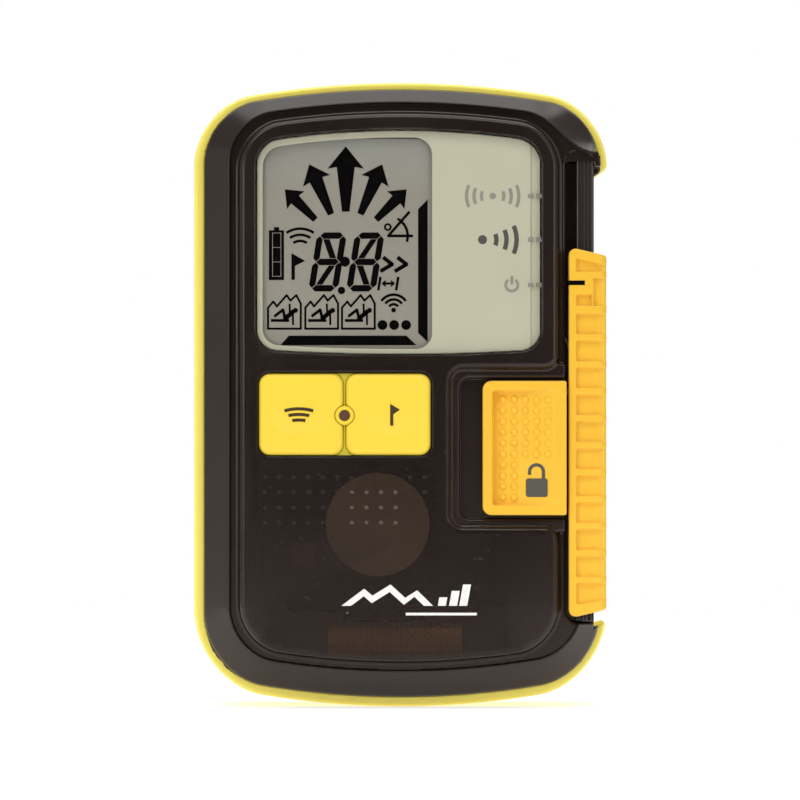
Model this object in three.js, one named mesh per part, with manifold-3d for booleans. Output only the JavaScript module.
// Avalanche transceiver, standing upright.
// X runs across the width, Y through the depth with the display facing -Y, and Z up the length.
// The origin is under the middle of the case, and all lengths are in millimetres.

import * as THREE from 'three';
import { mergeVertices } from 'three/addons/utils/BufferGeometryUtils.js';
import Module from 'manifold-3d';

const wasm = await Module();
wasm.setup();

// ---------------------------------------------------------------- driving dimensions

const LENGTH = 118;
const WIDTH = 78.1;
const DEPTH = 29;
const WALL = 2;
const GAP = 0.3;

// Planes across the depth, from the display side to the back.
const FRONT_Y = -DEPTH / 2;
const PLATEAU_Y = FRONT_Y + 0.8;
const FLANGE_Y = FRONT_Y + 3.6;
const WALL_Y = PLATEAU_Y + WALL;
const SPLIT_Y = -4;
const GASKET_DEPTH = 1.4;
const BACK_Y = DEPTH / 2;
const BACK_WALL_Y = BACK_Y - WALL;

// Outline of the case: straight sides joined by two large arcs.
const TOP_RADIUS = 170;
const BOTTOM_RADIUS = 160;
const TOP_CORNER = 11;
const BOTTOM_CORNER = 13;
const STAND_FLAT = 8;

// Mode slider on the right edge.
const SLIDE_LEFT = 31.45;
const SLIDE_RIGHT = 38.7;
const SLIDE_BOTTOM = 17.2;
const SLIDE_TOP = 86.5;
const SLIDE_TRAVEL = 16;
const SLIDE_FRONT_Y = -12.9;
const SLIDE_PLATE_Y = -10.5;
const RIB_PITCH = 5.06;
const RIB_WIDTH = 1.2;
const RIB_COUNT = 11;
const FIRST_RECESS_TOP = 74.2;

// Slot that the slider runs in, and the notch beside it where the case is narrower.
const SLOT_LEFT = 30.4;
const SLOT_BOTTOM = 16;
const SLOT_TOP = SLIDE_TOP + SLIDE_TRAVEL + 2.3;
const SLOT_FLOOR_Y = -6.5;
const NOTCH_X = 36.5;
const NOTCH_BOTTOM = 15.6;
const NOTCH_TOP = 101.9;
const NOTCH_SLANT = 1.7;

// Lock button and its pocket.
const LOCK = { left: 15.4, right: 31.15, bottom: 36.4, top: 61.6 };
const LOCK_TRAVEL = 3.6;
const LOCK_FOOT_X = 20;
const LOCK_FRONT_Y = -14.2;
const POCKET_FLOOR_Y = -11.4;

// Display, legend panel and keys.
const LENS = { left: -27.1, right: 26.4, bottom: 66.5, top: 108.7 };
const LENS_THICKNESS = 1.2;
const KEYS = { left: -26.6, right: 5.7, bottom: 47.6, top: 63 };
const KEY_SPLIT = -10.5;
const KEY_BACK_Y = -11.3;
const KEY_TRAVEL = 0.8;
const LED_Z = 55.1;

// Speaker behind the front.
const SPEAKER_X = -4.3;
const SPEAKER_Z = 34.6;

// Circuit board.
const BOARD_FRONT_Y = -6.2;
const BOARD_BACK_Y = -4.6;

// Three AAA cells side by side, upright, and the battery compartment around them.
const CELL_RADIUS = 5.25;
const CELL_LENGTH = 44.5;
const CELL_PITCH = 11;
const CELL_MIDDLE_X = -3;
const CELL_Y = 7;
const BAY = { left: -20.7, right: 14.7, bottom: 19, top: 72 };
const BAY_WALL = 1.3;
const BAY_FLOOR_Y = 1;

// Battery cover, its hinge and its screw.
const COVER = { left: -21.6, right: 15.6, bottom: 18, top: 73 };
const COVER_FRONT_Y = 12.6;
const HINGE_Y = 13;
const HINGE_Z = 75.2;
const KNUCKLE_RADIUS = 1.5;
const PIN_RADIUS = 0.75;
const COVER_SCREW_Z = 13.5;

// Recess with a steel pin for the lanyard.
const LANYARD = { left: -22, right: -10, bottom: 98, top: 110 };
const LANYARD_FLOOR_Y = 6;
const LANYARD_PIN_Y = 11.6;

// Six screws close the case from the back: [x, z] of each.
const CASE_SCREWS = [[-31, 102.5], [0, 112], [27.5, 106.5], [27.5, 68], [27.5, 14.5], [-31, 15.5]];

// ---------------------------------------------------------------- finishes

const YELLOW = { color: 0xf5dc42, roughness: 0.42, metalness: 0 };
const AMBER = { color: 0xf9bf2b, roughness: 0.45, metalness: 0 };
const LEMON = { color: 0xfae03c, roughness: 0.6, metalness: 0 };
const SMOKED = { color: 0x2b2422, roughness: 0.3, metalness: 0 };
const CLEAR = { color: 0xd8d8c8, roughness: 0.08, metalness: 0, transparent: true, opacity: 0.35 };
const LCD_GREY = { color: 0x9f9c8e, roughness: 0.25, metalness: 0 };
const CREAM = { color: 0xccc9b2, roughness: 0.55, metalness: 0 };
const RUBBER = { color: 0x1c1c1d, roughness: 0.85, metalness: 0 };
const BLACK = { color: 0x151516, roughness: 0.5, metalness: 0 };
const BOARD_GREEN = { color: 0x1d4a31, roughness: 0.5, metalness: 0 };
const STEEL = { color: 0xb4b5b8, roughness: 0.3, metalness: 1 };
const BRASS = { color: 0xc39a4e, roughness: 0.35, metalness: 1 };
const COPPER = { color: 0xb56b38, roughness: 0.4, metalness: 1 };
const FERRITE = { color: 0x303032, roughness: 0.7, metalness: 0 };
const CELL = { color: 0x2f5f8f, roughness: 0.35, metalness: 0.2 };
const DOME = { color: 0xd9d5c6, roughness: 0.4, metalness: 0 };

// ---------------------------------------------------------------- solids

/** Turns a closed geometry into a solid that can be joined and cut. */
function solid(geometry) {
  const bare = geometry.index ? geometry.toNonIndexed() : geometry;
  bare.deleteAttribute('normal');
  bare.deleteAttribute('uv');
  const merged = mergeVertices(bare, 1e-5);
  const corners = merged.index.array;
  const kept = [];
  for (let i = 0; i < corners.length; i += 3) {
    const [a, b, c] = [corners[i], corners[i + 1], corners[i + 2]];
    if (a !== b && b !== c && c !== a) kept.push(a, b, c);
  }
  return new wasm.Manifold(new wasm.Mesh({
    numProp: 3,
    vertProperties: Float32Array.from(merged.attributes.position.array),
    triVerts: Uint32Array.from(kept),
  }));
}

/** Turns a solid back into a geometry for a mesh. */
function geometryOf(body) {
  const mesh = body.getMesh();
  const geometry = new THREE.BufferGeometry();
  geometry.setAttribute('position', new THREE.BufferAttribute(mesh.vertProperties, 3));
  geometry.setIndex(new THREE.BufferAttribute(mesh.triVerts, 1));
  geometry.computeVertexNormals();
  return geometry;
}

function join(...bodies) {
  return bodies.reduce((whole, body) => whole.add(body));
}

function cut(whole, ...bodies) {
  return bodies.reduce((rest, body) => rest.subtract(body), whole);
}

function block(x0, x1, y0, y1, z0, z1) {
  const geometry = new THREE.BoxGeometry(x1 - x0, y1 - y0, z1 - z0);
  geometry.translate((x0 + x1) / 2, (y0 + y1) / 2, (z0 + z1) / 2);
  return solid(geometry);
}

function cylinderX(y, z, radius, x0, x1, sides = 20) {
  const geometry = new THREE.CylinderGeometry(radius, radius, x1 - x0, sides);
  geometry.rotateZ(Math.PI / 2);
  geometry.translate((x0 + x1) / 2, y, z);
  return solid(geometry);
}

function cylinderY(x, z, radius, y0, y1, sides = 20) {
  const geometry = new THREE.CylinderGeometry(radius, radius, y1 - y0, sides);
  geometry.translate(x, (y0 + y1) / 2, z);
  return solid(geometry);
}

/** A tube or ring turned round the local Y axis, from 0 to its length. */
function ringGeometry(inner, outer, length, sides = 24) {
  const profile = [[inner, 0], [outer, 0], [outer, length], [inner, length], [inner, 0]];
  return new THREE.LatheGeometry(profile.map(([r, y]) => new THREE.Vector2(r, y)), sides);
}

/** Drops points of a shape that coincide, so that its rounded edges stay clean. */
function tidyShape(shape, arcSteps) {
  const points = shape.getPoints(arcSteps);
  const kept = points.filter((p, i) => p.distanceTo(points[(i + 1) % points.length]) > 1e-4);
  return new THREE.Shape(kept);
}

/**
 * A plate with its outline in the X-Z plane, from y0 (display side) to y1 (back).
 * Each arc of the outline becomes twice arcSteps straight pieces.
 */
function plate(shape, y0, y1, arcSteps = 2) {
  const geometry = new THREE.ExtrudeGeometry(tidyShape(shape, arcSteps), {
    depth: y1 - y0,
    bevelEnabled: false,
  });
  geometry.rotateX(Math.PI / 2);
  geometry.translate(0, y1, 0);
  return solid(geometry);
}

/** The same plate with one edge rounded: rise along Y, run inwards. side is 'front' or 'back'. */
function roundedPlate(shape, y0, y1, side, rise, run, steps = 2, arcSteps = 2) {
  const length = y1 - y0;
  const geometry = new THREE.ExtrudeGeometry(tidyShape(shape, arcSteps), {
    depth: length,
    bevelEnabled: true,
    bevelThickness: rise,
    bevelSize: run,
    bevelOffset: 0,
    bevelSegments: steps,
  });
  geometry.rotateX(Math.PI / 2);
  geometry.translate(0, side === 'front' ? y1 + rise : y1 - rise, 0);
  const spare = 2 * rise + 1;
  const far = 200;
  const trim = side === 'front'
    ? block(-far, far, y1, y1 + spare, -far, far)
    : block(-far, far, y0 - spare, y0, -far, far);
  return solid(geometry).subtract(trim);
}

function rectangle({ left, right, bottom, top }, radius = 0, inset = 0) {
  const [x0, x1] = [left + inset, right - inset];
  const [z0, z1] = [bottom + inset, top - inset];
  const r = Math.max(radius - inset, 0.01);
  const shape = new THREE.Shape();
  shape.absarc(x0 + r, z0 + r, r, Math.PI, 1.5 * Math.PI);
  shape.absarc(x1 - r, z0 + r, r, 1.5 * Math.PI, 2 * Math.PI);
  shape.absarc(x1 - r, z1 - r, r, 0, 0.5 * Math.PI);
  shape.absarc(x0 + r, z1 - r, r, 0.5 * Math.PI, Math.PI);
  return shape;
}

/**
 * An outline with straight sides and arched ends whose arcs are centred on x = 0.
 * The lower arc has a short flat in its middle, which the case stands on.
 * corners are the radii at the top left, top right, bottom right and bottom left.
 */
function archedOutline({ left, right, bottom, top }, topRadius, bottomRadius, corners) {
  const topCentre = top - topRadius;
  const bottomCentre = bottom + Math.sqrt(bottomRadius ** 2 - (STAND_FLAT / 2) ** 2);
  const corner = (index, x, end) => {
    const big = end === 'top' ? topRadius : bottomRadius;
    const centre = end === 'top' ? topCentre : bottomCentre;
    const reach = Math.sqrt((big - corners[index]) ** 2 - x ** 2);
    const z = end === 'top' ? centre + reach : centre - reach;
    return { x, z, r: corners[index], angle: Math.atan2(z - centre, x) };
  };
  const topLeft = corner(0, left + corners[0], 'top');
  const topRight = corner(1, right - corners[1], 'top');
  const bottomRight = corner(2, right - corners[2], 'bottom');
  const bottomLeft = corner(3, left + corners[3], 'bottom');
  const flat = Math.asin(STAND_FLAT / 2 / bottomRadius);
  const down = -Math.PI / 2;
  const shape = new THREE.Shape();
  shape.absarc(topLeft.x, topLeft.z, topLeft.r, Math.PI, topLeft.angle, true);
  shape.absarc(0, topCentre, topRadius, topLeft.angle, topRight.angle, true);
  shape.absarc(topRight.x, topRight.z, topRight.r, topRight.angle, 0, true);
  shape.absarc(bottomRight.x, bottomRight.z, bottomRight.r, 0, bottomRight.angle, true);
  shape.absarc(0, bottomCentre, bottomRadius, bottomRight.angle, down + flat, true);
  shape.absarc(0, bottomCentre, bottomRadius, down - flat, bottomLeft.angle, true);
  shape.absarc(bottomLeft.x, bottomLeft.z, bottomLeft.r, bottomLeft.angle, -Math.PI, true);
  return shape;
}

/** The outline of the case, pulled in by a distance from each side. */
function caseOutline(sides, ends = sides) {
  const box = {
    left: -WIDTH / 2 + sides,
    right: WIDTH / 2 - sides,
    bottom: ends,
    top: LENGTH - ends,
  };
  const [top, bottom] = [TOP_CORNER - sides, BOTTOM_CORNER - sides];
  return archedOutline(box, TOP_RADIUS - ends, BOTTOM_RADIUS - ends, [top, top, bottom, bottom]);
}

/** The outline of the raised field on the front. */
function plateauOutline(inset, radius = 8 - inset) {
  const box = { left: -30 + inset, right: SLOT_LEFT - inset, bottom: 8 + inset, top: 112 - inset };
  return archedOutline(box, TOP_RADIUS - 6, BOTTOM_RADIUS - 8, [radius, radius, radius, radius]);
}

/** A helical wire, closed at both ends, wound round the local Z axis. */
class Helix extends THREE.Curve {
  constructor(radius, height, turns) {
    super();
    Object.assign(this, { radius, height, turns });
  }

  getPoint(t, target = new THREE.Vector3()) {
    const angle = 2 * Math.PI * this.turns * t;
    return target.set(
      this.radius * Math.cos(angle), this.radius * Math.sin(angle), this.height * (t - 0.5));
  }
}

function springGeometry(radius, height, turns, wire) {
  const section = new THREE.Shape();
  section.absarc(0, 0, wire, 0, 2 * Math.PI);
  const outline = new THREE.Shape(section.getPoints(3).slice(0, -1));
  return new THREE.ExtrudeGeometry(outline, {
    steps: Math.round(turns * 8),
    bevelEnabled: false,
    extrudePath: new Helix(radius, height, turns),
  });
}

/** A named mesh of its own material, from a solid or a geometry. */
function piece(name, body, finish) {
  const geometry = body.isBufferGeometry ? geometryOf(solid(body)) : geometryOf(body);
  const material = new THREE.MeshStandardMaterial({ ...finish, flatShading: true });
  const mesh = new THREE.Mesh(geometry, material);
  mesh.name = name;
  return mesh;
}

// ---------------------------------------------------------------- case

/** The space beside the slider, where the case is narrower. Its upper end may slant down inwards. */
function notch(inset = 0, slant = 0) {
  const shape = new THREE.Shape([
    new THREE.Vector2(NOTCH_X - inset, NOTCH_BOTTOM - inset - slant / 2),
    new THREE.Vector2(WIDTH, NOTCH_BOTTOM - inset),
    new THREE.Vector2(WIDTH, NOTCH_TOP + inset),
    new THREE.Vector2(NOTCH_X - inset, NOTCH_TOP + inset - slant),
  ]);
  return plate(shape, -DEPTH, DEPTH);
}

function tub(outer, wall, y0, y1) {
  const box = {
    left: outer.left - wall, right: outer.right + wall, bottom: outer.bottom - wall, top: outer.top + wall,
  };
  return plate(rectangle(box, 1.5), y0, y1);
}

/** The cover is a panel with a tongue below it, which is thicker where the screw goes through. */
function coverSolid(inset) {
  const tongue = { left: CELL_MIDDLE_X - 7, right: CELL_MIDDLE_X + 7, bottom: 7, top: COVER.bottom + 4 };
  const pad = { ...tongue, top: COVER.bottom - 0.6 };
  const outside = inset < 0 ? 1 : 0;
  return join(
    plate(rectangle(COVER, 2, inset), COVER_FRONT_Y + inset, BACK_Y + outside),
    plate(rectangle(tongue, 5, inset), COVER_FRONT_Y + inset, BACK_Y + outside, 3),
    plate(rectangle(pad, 4, inset), COVER_FRONT_Y - 1.1 + inset, BACK_Y + outside, 3),
  );
}

function rearShell() {
  const rimY = SPLIT_Y + GAP;
  const outside = roundedPlate(caseOutline(6), rimY, BACK_Y, 'back', 8, 6, 3, 3);
  const cavity = roundedPlate(caseOutline(WALL + 5), rimY - 1, BACK_WALL_Y, 'back', 7, 5);
  const hingeBlock = { left: BAY.left, right: BAY.right, bottom: BAY.top, top: 78.4 };
  const bossY = SPLIT_Y + GASKET_DEPTH + GAP;
  const bosses = CASE_SCREWS.map(([x, z]) => cylinderY(x, z, 3.6, bossY, BACK_WALL_Y + 0.5, 12));
  const added = join(
    tub(BAY, BAY_WALL, BAY_FLOOR_Y - BAY_WALL, BACK_WALL_Y + 0.5),
    tub(hingeBlock, BAY_WALL, 9.6, BACK_WALL_Y + 0.5),
    tub(LANYARD, BAY_WALL, LANYARD_FLOOR_Y - BAY_WALL, BACK_WALL_Y + 0.5),
    cylinderY(CELL_MIDDLE_X, COVER_SCREW_Z, 4, 4.6, BACK_WALL_Y + 0.5, 16),
    block(CELL_MIDDLE_X - 8.5, CELL_MIDDLE_X + 8.5, 9.6, BACK_WALL_Y + 0.5, 5.5, BAY.bottom),
    ...bosses,
  );
  const body = outside.subtract(notch(0, NOTCH_SLANT));
  const shell = body
    .subtract(cavity.subtract(notch(WALL, NOTCH_SLANT)))
    .add(added.intersect(body));
  const screwHoles = CASE_SCREWS.flatMap(([x, z]) => [
    cylinderY(x, z, 2.8, 7, BACK_Y + 1, 12),
    cylinderY(x, z, 1.6, rimY - 1, 8, 8),
  ]);
  return cut(
    shell,
    plate(rectangle(BAY, 1), BAY_FLOOR_Y, BACK_Y + 1),
    coverSolid(-GAP),
    block(COVER.left - GAP, COVER.right + GAP, 11.2, BACK_Y + 1, COVER.top - 0.5, 77.6),
    plate(rectangle(LANYARD, 2), LANYARD_FLOOR_Y, BACK_Y + 1),
    cylinderX(LANYARD_PIN_Y, 104, 1.5, LANYARD.left - 2, LANYARD.right + 2, 16),
    cylinderY(CELL_MIDDLE_X, COVER_SCREW_Z, 2.2, 5.8, BACK_Y + 1, 16),
    ...screwHoles,
  ).add(hingeEars());
}

/** The ears on the rear shell that hold the ends and the middle of the hinge pin. */
function hingeEars() {
  const spans = [[COVER.left - 0.5, -16.4], [-4.6, -1.4], [10.4, COVER.right + 0.5]];
  const ears = spans.map(([x0, x1]) => join(
    block(x0, x1, HINGE_Y - 2.2, HINGE_Y + 0.2, HINGE_Z - 1.5, 78),
    cylinderX(HINGE_Y, HINGE_Z, KNUCKLE_RADIUS, x0, x1, 16),
  ));
  const bore = cylinderX(HINGE_Y, HINGE_Z, PIN_RADIUS + 0.2, COVER.left, COVER.right, 16);
  return join(...ears).subtract(bore);
}

function hingePin() {
  return cylinderX(HINGE_Y, HINGE_Z, PIN_RADIUS, COVER.left + 0.4, COVER.right - 0.4, 16);
}

function frontShell() {
  const skirtY = SPLIT_Y - GAP;
  const flange = roundedPlate(
    caseOutline(1.8 + 4.9, 1.6 + 4.9), FLANGE_Y, skirtY, 'front', 5.2, 4.9, 2, 3);
  const plateau = roundedPlate(plateauOutline(1.1), PLATEAU_Y, -8, 'front', 1.1, 1.1, 2, 3);
  const flangeCavity = roundedPlate(
    caseOutline(1.8 + 6.9, 1.6 + 6.9), FLANGE_Y + WALL, skirtY + 1, 'front', 4.2, 4.9, 2, 2);
  const plateauCavity = plate(plateauOutline(WALL, 3), WALL_Y, -5);
  const slot = { left: SLOT_LEFT, right: WIDTH, bottom: SLOT_BOTTOM, top: SLOT_TOP };
  const slotBed = block(SLOT_LEFT - 1.5, NOTCH_X, PLATEAU_Y + 1, SLOT_FLOOR_Y + 1.6, 14.4, 106.4);
  const pocket = { left: 11.2, right: WIDTH, bottom: LOCK.bottom - GAP, top: LOCK.top + GAP };
  const pocketStep = { left: 9.6, right: WIDTH, bottom: 34.3, top: 63.7 };
  const pocketBed = block(9.6, SLOT_LEFT, PLATEAU_Y + 1, POCKET_FLOOR_Y + 1.5, 32.8, 65.2);
  const springSeat = block(8.8, 10.7, POCKET_FLOOR_Y, -6.7, 46.9, 51.1);
  const speakerWell = cut(
    cylinderY(SPEAKER_X, SPEAKER_Z, 12.2, PLATEAU_Y + 1, -9.4, 24),
    cylinderY(SPEAKER_X, SPEAKER_Z, 11.3, PLATEAU_Y, -9, 24),
  );
  const bosses = CASE_SCREWS.map(([x, z]) => cylinderY(x, z, 2.9, FLANGE_Y + 1, skirtY, 12));
  const hollow = join(flangeCavity, plateauCavity).subtract(notch(WALL));
  const outside = join(flange, plateau).subtract(notch());
  const shell = outside.subtract(hollow).add(
    join(slotBed, pocketBed, springSeat, speakerWell, ...bosses).intersect(outside));
  const screwHoles = CASE_SCREWS.map(([x, z]) => cylinderY(x, z, 1.5, -9.6, skirtY + 1, 8));
  return cut(
    shell,
    plate(rectangle(slot, 2.5), -DEPTH, SLOT_FLOOR_Y),
    plate(rectangle(pocketStep, 2), -DEPTH, PLATEAU_Y + 0.6),
    plate(rectangle(pocket, 1.7), -DEPTH, POCKET_FLOOR_Y),
    block(LOCK_FOOT_X - LOCK_TRAVEL - 0.4, LOCK_FOOT_X + 3.4, -DEPTH, -8, 47.1, 50.9),
    plate(lensOutline(-0.2), -DEPTH, PLATEAU_Y + LENS_THICKNESS + 0.15),
    plate(lensOutline(1.2), -DEPTH, -8),
    plate(rectangle(KEYS, 2.1, -GAP), -DEPTH, -8),
    ...screwHoles,
  );
}

function perimeterGasket() {
  const ring = (inset) => plate(caseOutline(inset), SPLIT_Y, SPLIT_Y + GASKET_DEPTH, 3)
    .subtract(notch(inset, NOTCH_SLANT));
  return ring(WALL + GAP).subtract(ring(WALL + GAP + 1.2));
}

function caseScrew() {
  const head = new THREE.CylinderGeometry(2.4, 2.4, 2, 12);
  head.translate(0, 8.3, 0);
  const shank = new THREE.CylinderGeometry(1.25, 1.25, 17, 8);
  shank.translate(0, -0.7, 0);
  const slots = [0, Math.PI / 2].map((turn) => {
    const slot = new THREE.BoxGeometry(3, 1.6, 0.7);
    slot.rotateY(turn);
    slot.translate(0, 9.3, 0);
    return solid(slot);
  });
  return cut(join(solid(head), solid(shank)), ...slots);
}

function lanyardPin() {
  return cylinderX(LANYARD_PIN_Y, 104, 1.2, LANYARD.left - 1.1, LANYARD.right + 1.1, 20);
}

// ---------------------------------------------------------------- display

function lensOutline(inset) {
  const box = {
    left: LENS.left + inset,
    right: LENS.right - inset,
    bottom: LENS.bottom + inset,
    top: LENS.top - inset,
  };
  return archedOutline(box, TOP_RADIUS - 9, 400, [3.6, 5, 5, 3.6].map((r) => r - inset));
}

function displayLens() {
  return plate(lensOutline(0), PLATEAU_Y, PLATEAU_Y + LENS_THICKNESS, 3);
}

function lcdPanel() {
  return plate(rectangle({ left: -26.6, right: 7, bottom: 66.6, top: 107.2 }, 0.6), -11.4, -9.6, 1);
}

function legendPanel() {
  return plate(rectangle({ left: 7.3, right: 26.2, bottom: 66.9, top: 107.7 }, 2.5), -11.4, -10.4);
}

function lcdTray() {
  const outer = plate(rectangle({ left: -26.6, right: 7, bottom: 66.2, top: 107.2 }, 1), -9.3, -6.6, 1);
  const window = plate(rectangle({ left: -24.6, right: 5, bottom: 68.4, top: 105.6 }, 1), -7.8, -6, 1);
  return outer.subtract(window);
}

function displayConnector() {
  return block(-24, 4, -11.2, BOARD_FRONT_Y - GAP, 64.3, 65.8);
}

// ---------------------------------------------------------------- keys

/** One key cap: a flat cap with a low oval dome, notched round the LED. */
function keyCap(left, right) {
  const cap = { left, right, bottom: KEYS.bottom, top: KEYS.top };
  const dome = { left: left + 2.2, right: right - 2.2, bottom: KEYS.bottom + 2.4, top: KEYS.top - 2.4 };
  return join(
    roundedPlate(rectangle(cap, 2.1, 0.4), -13.9, KEY_BACK_Y, 'front', 0.4, 0.4, 1),
    roundedPlate(rectangle(dome, 5, 0.5), FRONT_Y, -13.5, 'front', 0.5, 0.5, 1, 3),
  ).subtract(cylinderY(KEY_SPLIT, LED_Z, 2.05, -DEPTH, 0, 16));
}

function keyMembrane() {
  const sheet = { left: -27.6, right: 6.7, bottom: 47, top: 63.8 };
  const y = KEY_BACK_Y + KEY_TRAVEL + GAP;
  return plate(rectangle(sheet, 2), y, y + 0.9)
    .subtract(cylinderY(KEY_SPLIT, LED_Z, 1.3, -DEPTH, 0, 16));
}

function keySwitch(x) {
  return join(
    block(x - 3, x + 3, -8, BOARD_FRONT_Y - 0.1, LED_Z - 3, LED_Z + 3),
    cylinderY(x, LED_Z, 1.7, -8.9, -7.5, 16),
  );
}

function statusLed() {
  return cylinderY(KEY_SPLIT, LED_Z, 0.9, -13.6, BOARD_FRONT_Y - GAP, 16);
}

function ledRing() {
  const ring = ringGeometry(1.15, 1.75, 3.7, 16);
  ring.translate(KEY_SPLIT, -14.2, LED_Z);
  return ring;
}

// ---------------------------------------------------------------- mode slider

function sliderBody() {
  const front = new THREE.Shape();
  front.absarc(SLIDE_LEFT + 1.6, SLIDE_BOTTOM + 1.8, 1.6, Math.PI, 1.45 * Math.PI);
  front.lineTo(SLIDE_RIGHT, SLIDE_BOTTOM + 1.3);
  front.lineTo(SLIDE_RIGHT, SLIDE_TOP - 2.4);
  front.lineTo(SLIDE_RIGHT - 1.2, SLIDE_TOP - 1.1);
  front.absarc(SLIDE_LEFT + 1.8, SLIDE_TOP - 1.8, 1.8, 0.45 * Math.PI, Math.PI);
  const outside = roundedPlate(front, SLIDE_FRONT_Y, -4.6, 'front', 0.01, 0.01, 1, 5);
  const corner = roundedSide();
  const underside = block(32.7, 36.9, SLIDE_PLATE_Y, 0, 0, LENGTH);
  const shortLeg = block(SLIDE_LEFT - 1, 33, -8, 0, 0, LENGTH);
  return cut(outside, corner, underside, shortLeg);
}

/** What is cut away to round the slider's outer front edge. */
function roundedSide() {
  const radius = 1.6;
  const square = block(
    SLIDE_RIGHT - radius, SLIDE_RIGHT + 1, SLIDE_FRONT_Y - 1, SLIDE_FRONT_Y + radius, 0, LENGTH);
  const round = new THREE.CylinderGeometry(radius, radius, LENGTH + 2, 24);
  round.rotateX(Math.PI / 2);
  round.translate(SLIDE_RIGHT - radius, SLIDE_FRONT_Y + radius, LENGTH / 2);
  return square.subtract(solid(round));
}

function modeSlider() {
  const depth = 0.8;
  const recesses = [];
  for (let i = 0; i < RIB_COUNT; i += 1) {
    const top = FIRST_RECESS_TOP - i * RIB_PITCH;
    recesses.push(block(
      33, SLIDE_RIGHT + 1, -DEPTH, SLIDE_FRONT_Y + depth, top - RIB_PITCH + RIB_WIDTH, top));
  }
  recesses.push(block(33, 36.4, -DEPTH, SLIDE_FRONT_Y + depth, 75.7, 77.8));
  recesses.push(block(33, SLIDE_RIGHT + 1, -DEPTH, SLIDE_FRONT_Y + depth, 82, 83.8));
  const side = block(SLIDE_RIGHT - 0.5, SLIDE_RIGHT + 1, -DEPTH, -6, 0, LENGTH);
  const sideRecesses = [];
  for (let i = 0; i < RIB_COUNT; i += 1) {
    const top = FIRST_RECESS_TOP - i * RIB_PITCH;
    sideRecesses.push(side.intersect(
      block(0, WIDTH, -DEPTH, 0, top - RIB_PITCH + RIB_WIDTH, top)));
  }
  const magnetPocket = block(33.2, 35.8, -11.6, 0, 49.7, 56.3);
  const indexGroove = block(SLIDE_LEFT - 1, 34.6, -DEPTH, SLIDE_FRONT_Y + 0.25, 79.57, 80.43);
  return cut(sliderBody(), ...recesses, ...sideRecesses, magnetPocket, indexGroove);
}

function slideMagnet() {
  return block(33.5, 35.5, -11.3, -10.6, 50, 56);
}

function slideRail() {
  const rail = { left: 33, right: 36.4, bottom: SLOT_BOTTOM + GAP, top: SLOT_TOP - GAP };
  return plate(rectangle(rail, 0.4), -9.9, SLOT_FLOOR_Y - GAP, 2);
}

/** A bent steel strip under the slider's inner leg that holds its three positions. */
function detentSpring() {
  const strip = new THREE.Shape();
  strip.moveTo(30.8, 58);
  strip.lineTo(31.1, 58);
  strip.quadraticCurveTo(33.6, 64, 31.1, 70);
  strip.lineTo(30.8, 70);
  strip.quadraticCurveTo(33.3, 64, 30.8, 58);
  return plate(strip, -7.7, -6.8, 8);
}

// ---------------------------------------------------------------- lock button

function lockButton() {
  const body = roundedPlate(
    rectangle(LOCK, 1.7, 0.6), LOCK_FRONT_Y, -11.7, 'front', 0.6, 0.6);
  const scoop = new THREE.Shape([
    new THREE.Vector2(17.2, -DEPTH),
    new THREE.Vector2(17.2, LOCK_FRONT_Y + 0.5),
    new THREE.Vector2(17.8, LOCK_FRONT_Y + 1.6),
    new THREE.Vector2(28.8, LOCK_FRONT_Y),
    new THREE.Vector2(28.8, -DEPTH),
  ]);
  const hollow = new THREE.ExtrudeGeometry(scoop, { depth: 21.5, bevelEnabled: false });
  hollow.translate(0, 0, 38.2);
  const foot = block(LOCK_FOOT_X, LOCK_FOOT_X + 3, -12, -7.2, 47.5, 50.5);
  return body.subtract(solid(hollow)).add(foot);
}

function lockSpring() {
  const spring = springGeometry(1.3, 8, 5, 0.25);
  spring.rotateY(Math.PI / 2);
  spring.translate(15.35, -7.9, 49);
  return spring;
}

// ---------------------------------------------------------------- electronics

function mainBoard() {
  const outline = { left: -26, right: 28.4, bottom: 19, top: 108.4 };
  const board = plate(rectangle(outline, 2), BOARD_FRONT_Y, BOARD_BACK_Y);
  const clearances = CASE_SCREWS.map(([x, z]) => cylinderY(x, z, 3.3, -DEPTH, DEPTH, 16));
  return cut(board, ...clearances);
}

function chip(x0, x1, z0, z1, height) {
  return block(x0, x1, BOARD_FRONT_Y - height, BOARD_FRONT_Y - 0.1, z0, z1);
}

function radioShield() {
  const can = { left: 10, right: 22, bottom: 84, top: 96 };
  return roundedPlate(rectangle(can, 1, 0.3), -8.4, BOARD_FRONT_Y - 0.1, 'front', 0.3, 0.3, 1);
}

function speaker() {
  const profile = [[0, 0], [9.8, 0], [9.8, 2.2], [8, 3], [0, 3]];
  const disc = new THREE.LatheGeometry(profile.map(([r, y]) => new THREE.Vector2(r, y)), 24);
  disc.translate(SPEAKER_X, -11.4, SPEAKER_Z);
  return disc;
}

function speakerRing() {
  const ring = ringGeometry(10.1, 11, 2, 24);
  ring.translate(SPEAKER_X, -11.4, SPEAKER_Z);
  return ring;
}

/** A ferrite rod and its winding, both along the local Y axis and centred on the origin. */
function rodGeometry(length) {
  return new THREE.CylinderGeometry(3, 3, length, 14);
}

function windingGeometry(length) {
  const winding = ringGeometry(3.3, 4, length, 16);
  winding.translate(0, -length / 2, 0);
  return winding;
}

// ---------------------------------------------------------------- batteries

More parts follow.
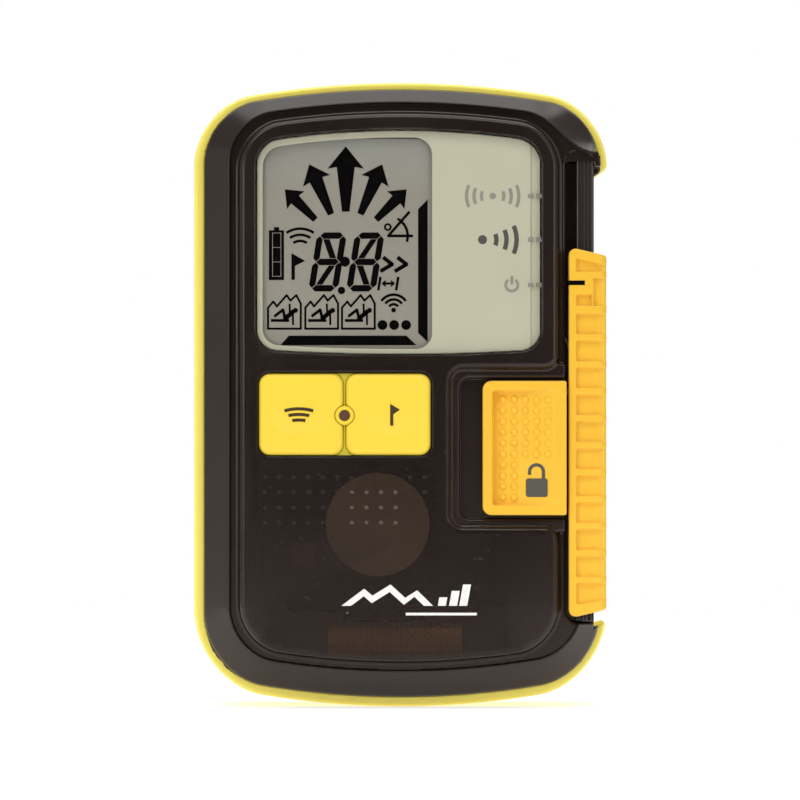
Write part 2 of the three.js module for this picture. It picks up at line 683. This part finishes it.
function cellGeometry() {
  const nub = 1.2;
  const profile = [
    [0, 0], [CELL_RADIUS - 0.4, 0], [CELL_RADIUS, 0.4], [CELL_RADIUS, CELL_LENGTH - nub - 0.4],
    [CELL_RADIUS - 0.4, CELL_LENGTH - nub], [1.9, CELL_LENGTH - nub], [1.9, CELL_LENGTH],
    [0, CELL_LENGTH],
  ];
  const cell = new THREE.LatheGeometry(profile.map(([r, y]) => new THREE.Vector2(r, y)), 14);
  cell.rotateX(Math.PI / 2);
  cell.translate(0, 0, -CELL_LENGTH / 2);
  return cell;
}

function batteryCover() {
  const tabs = [[-16, -5], [-1, 10]].map(([x0, x1]) => join(
    block(x0, x1, COVER_FRONT_Y, HINGE_Y + 1.3, COVER.top - 1, HINGE_Z),
    cylinderX(HINGE_Y, HINGE_Z, KNUCKLE_RADIUS, x0, x1, 16),
  ));
  const panel = join(
    coverSolid(0),
    ...tabs,
  );
  const grip = plate(rectangle({ left: -14, right: 8, bottom: 26, top: 29 }, 1.4), BACK_Y - 0.6, 20);
  return cut(
    panel,
    cylinderX(HINGE_Y, HINGE_Z, PIN_RADIUS + 0.2, COVER.left, COVER.right, 16),
    cylinderY(CELL_MIDDLE_X, COVER_SCREW_Z, 4.6, 13, BACK_Y + 1, 20),
    cylinderY(CELL_MIDDLE_X, COVER_SCREW_Z, 2, 0, BACK_Y, 16),
    grip,
  );
}

function coverGasket() {
  const ring = (inset) => plate(rectangle(BAY, 1.2, inset), 11.4, COVER_FRONT_Y - 0.1);
  return ring(0.3).subtract(ring(1.5));
}

function coverScrew() {
  const head = cylinderY(CELL_MIDDLE_X, COVER_SCREW_Z, 4.2, 13.2, BACK_Y - 0.1, 20);
  const shank = cylinderY(CELL_MIDDLE_X, COVER_SCREW_Z, 1.5, 6.6, 13.5, 16);
  const coinSlot = block(CELL_MIDDLE_X - 5, CELL_MIDDLE_X + 5, BACK_Y - 0.9, BACK_Y + 1,
    COVER_SCREW_Z - 0.7, COVER_SCREW_Z + 0.7);
  return head.add(shank).subtract(coinSlot);
}

// ---------------------------------------------------------------- assembly

function caseGroup() {
  const group = new THREE.Group();
  group.add(
    piece('rear_shell', rearShell(), YELLOW),
    piece('front_shell', frontShell(), SMOKED),
    piece('perimeter_gasket', perimeterGasket(), RUBBER),
    piece('lanyard_pin', lanyardPin(), STEEL),
    piece('hinge_pin', hingePin(), STEEL),
  );
  CASE_SCREWS.forEach(([x, z], i) => {
    const screw = piece(`case_screw_${i + 1}`, caseScrew(), STEEL);
    screw.position.set(x, 0, z);
    group.add(screw);
  });
  return group;
}

function displayGroup() {
  const group = new THREE.Group();
  group.add(
    piece('display_lens', displayLens(), CLEAR),
    piece('lcd_panel', lcdPanel(), LCD_GREY),
    piece('legend_panel', legendPanel(), CREAM),
    piece('lcd_tray', lcdTray(), CREAM),
    piece('display_connector', displayConnector(), RUBBER),
  );
  return group;
}

function keyGroup() {
  const group = new THREE.Group();
  const [scanX, markX] = [-18.6, -2.4];
  group.add(
    piece('scan_button', keyCap(KEYS.left, KEY_SPLIT - 0.2), LEMON),
    piece('mark_button', keyCap(KEY_SPLIT + 0.2, KEYS.right), LEMON),
    piece('key_membrane', keyMembrane(), RUBBER),
    piece('scan_switch', keySwitch(scanX), DOME),
    piece('mark_switch', keySwitch(markX), DOME),
    piece('status_led', statusLed(), BLACK),
    piece('led_ring', ledRing(), LEMON),
  );
  return group;
}

function controlGroup() {
  const group = new THREE.Group();
  group.add(
    piece('mode_slider', modeSlider(), AMBER),
    piece('slide_magnet', slideMagnet(), STEEL),
    piece('slide_rail', slideRail(), SMOKED),
    piece('detent_spring', detentSpring(), STEEL),
    piece('lock_button', lockButton(), AMBER),
    piece('lock_spring', lockSpring(), STEEL),
  );
  return group;
}

function electronicsGroup() {
  const group = new THREE.Group();
  group.add(
    piece('main_board', mainBoard(), BOARD_GREEN),
    piece('processor_chip', chip(16.9, 27.6, 22, 32.3, 1.4), BLACK),
    piece('memory_chip', chip(-20, -14, 76, 84, 0.3), BLACK),
    piece('power_chip', chip(12, 18, 69, 75, 1.1), BLACK),
    piece('power_capacitor', chip(-20.6, -16.2, 26.4, 31.1, 2.6), COPPER),
    piece('clock_crystal', chip(12, 16, 78, 81, 1), STEEL),
    piece('radio_shield', radioShield(), STEEL),
    piece('hall_sensor_off', chip(25.6, 28.1, 51.6, 54.4, 1), BLACK),
    piece('hall_sensor_send', chip(25.6, 28.1, 59.6, 62.4, 1), BLACK),
    piece('speaker', speaker(), BLACK),
    piece('speaker_ring', speakerRing(), RUBBER),
  );
  return group;
}

/** Three antennas at right angles: along the length, across the width and through the depth. */
function antennaGroup() {
  const group = new THREE.Group();
  const antennas = [
    { name: 'x_antenna', rod: 70, winding: 58, at: [-31, 1.5, 60], turn: [Math.PI / 2, 0, 0] },
    { name: 'y_antenna', rod: 42, winding: 25.4, at: [-1, -1, 12], turn: [0, 0, Math.PI / 2] },
    { name: 'z_antenna', rod: 14, winding: 10, at: [20, 3.2, 90], turn: [0, 0, 0] },
  ];
  for (const { name, rod, winding, at, turn } of antennas) {
    const antenna = new THREE.Group();
    antenna.add(
      piece(`${name}_rod`, rodGeometry(rod), FERRITE),
      piece(`${name}_winding`, windingGeometry(winding), COPPER),
    );
    antenna.position.set(...at);
    antenna.rotation.set(...turn);
    group.add(antenna);
  }
  return group;
}

/** The cells stand alternately nub up and nub down, with the spring at the flat end. */
function batteryGroup() {
  const group = new THREE.Group();
  for (let i = 0; i < 3; i += 1) {
    const x = CELL_MIDDLE_X + (i - 1) * CELL_PITCH;
    const nubUp = i !== 1;
    const cell = piece(`battery_cell_${i + 1}`, cellGeometry(), CELL);
    const spring = piece(`battery_spring_${i + 1}`, springGeometry(2.6, 4.9, 3, 0.35), STEEL);
    const contact = piece(`battery_contact_${i + 1}`, block(-3.5, 3.5, -4, 4, -0.3, 0.3), BRASS);
    const low = BAY.bottom + 3.05;
    const middle = (BAY.bottom + BAY.top) / 2;
    cell.rotation.x = nubUp ? 0 : Math.PI;
    cell.position.set(x, CELL_Y, nubUp ? middle + 1.9 : middle - 1.9);
    spring.position.set(x, CELL_Y, nubUp ? low : BAY.bottom + BAY.top - low);
    contact.position.set(x, CELL_Y, nubUp ? BAY.top - 0.9 : BAY.bottom + 0.9);
    group.add(cell, spring, contact);
  }
  group.add(
    piece('battery_cover', batteryCover(), YELLOW),
    piece('cover_gasket', coverGasket(), RUBBER),
    piece('cover_screw', coverScrew(), STEEL),
  );
  return group;
}

const transceiver = new THREE.Group();
transceiver.add(
  caseGroup(),
  displayGroup(),
  keyGroup(),
  controlGroup(),
  electronicsGroup(),
  antennaGroup(),
  batteryGroup(),
);

export default transceiver;
